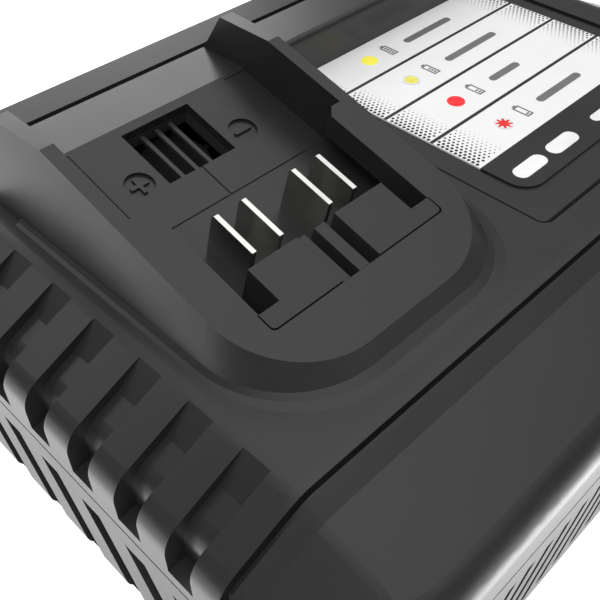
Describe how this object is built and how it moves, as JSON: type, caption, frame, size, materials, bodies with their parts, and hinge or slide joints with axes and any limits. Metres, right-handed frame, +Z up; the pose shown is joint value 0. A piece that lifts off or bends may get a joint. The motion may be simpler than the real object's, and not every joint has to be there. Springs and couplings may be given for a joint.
{
  "type": "power tool battery charger",
  "caption": "Mains bench charger for slide-on power tool batteries, with a tilted bay between two raised arms, blade contacts, a status panel and vented sides.",
  "frame": {"origin": "on the bench under the middle of the housing", "axes": "+Z up, +X along the long side from the battery bay to the status panel, +Y to the rear"},
  "size_m": [0.2276, 0.1504, 0.0756],
  "materials": {
    "housing_plastic": "satin black",
    "terminal_plastic": "fine matt black",
    "contact_metal": "bright nickel plate",
    "grille_plastic": "matt dark grey",
    "label_film": "satin printed film",
    "lens_amber": "clear tinted",
    "lens_pale": "clear tinted",
    "lens_red": "clear tinted",
    "board_laminate": "green board",
    "led_body": "clear resin",
    "screw_steel": "zinc plate",
    "wire_red": "soft insulation",
    "wire_black": "soft insulation",
    "ferrite": "fine grained",
    "winding_tape": "wrapped tape",
    "capacitor_sleeve": "shrunk sleeve",
    "copper_wire": "enamelled",
    "heat_sink_metal": "mill finish",
    "package_epoxy": "moulded",
    "fuse_glass": "clear",
    "fan_plastic": "moulded",
    "foot_rubber": "matt"
  },
  "bodies": {
    "housing": {"top_shell": "housing_plastic", "guide_lip_left": "housing_plastic", "guide_lip_right": "housing_plastic", "bottom_shell": "housing_plastic", "terminal_block": "terminal_plastic", "contact_positive": "contact_metal", "contact_negative": "contact_metal", "contact_sense_left": "contact_metal", "contact_sense_right": "contact_metal", "vent_grille": "grille_plastic", "label_plate": "label_film", "lens_charging": "lens_amber", "lens_charged": "lens_pale", "lens_fault": "lens_red", "lens_hot": "lens_red", "indicator_board": "board_laminate", "indicator_leds": "led_body", "indicator_screws": "screw_steel", "main_board": "board_laminate", "board_screws": "screw_steel", "terminal_board": "board_laminate", "lead_positive": "wire_red", "lead_negative": "wire_black", "transformer_core": "ferrite", "transformer_winding": "winding_tape", "input_capacitors": "capacitor_sleeve", "output_capacitors": "capacitor_sleeve", "choke_core": "ferrite", "choke_winding": "copper_wire", "heat_sink_input": "heat_sink_metal", "heat_sink_output": "heat_sink_metal", "power_transistors": "package_epoxy", "bridge_rectifier": "package_epoxy", "output_rectifiers": "package_epoxy", "input_fuse": "fuse_glass", "fan_frame": "fan_plastic", "fan_screws": "screw_steel", "case_screws": "screw_steel", "rubber_feet": "foot_rubber", "cord_bush": "foot_rubber"},
    "rotor": {"fan_rotor": "fan_plastic"}
  },
  "joints": [
    {"name": "fan_spin", "type": "hinge", "parent": "housing", "child": "rotor", "pos_m": [-0.0515, 0.03952, 0.05122], "axis": [0, -0.2538, 0.9673], "continuous": true}
  ]
}
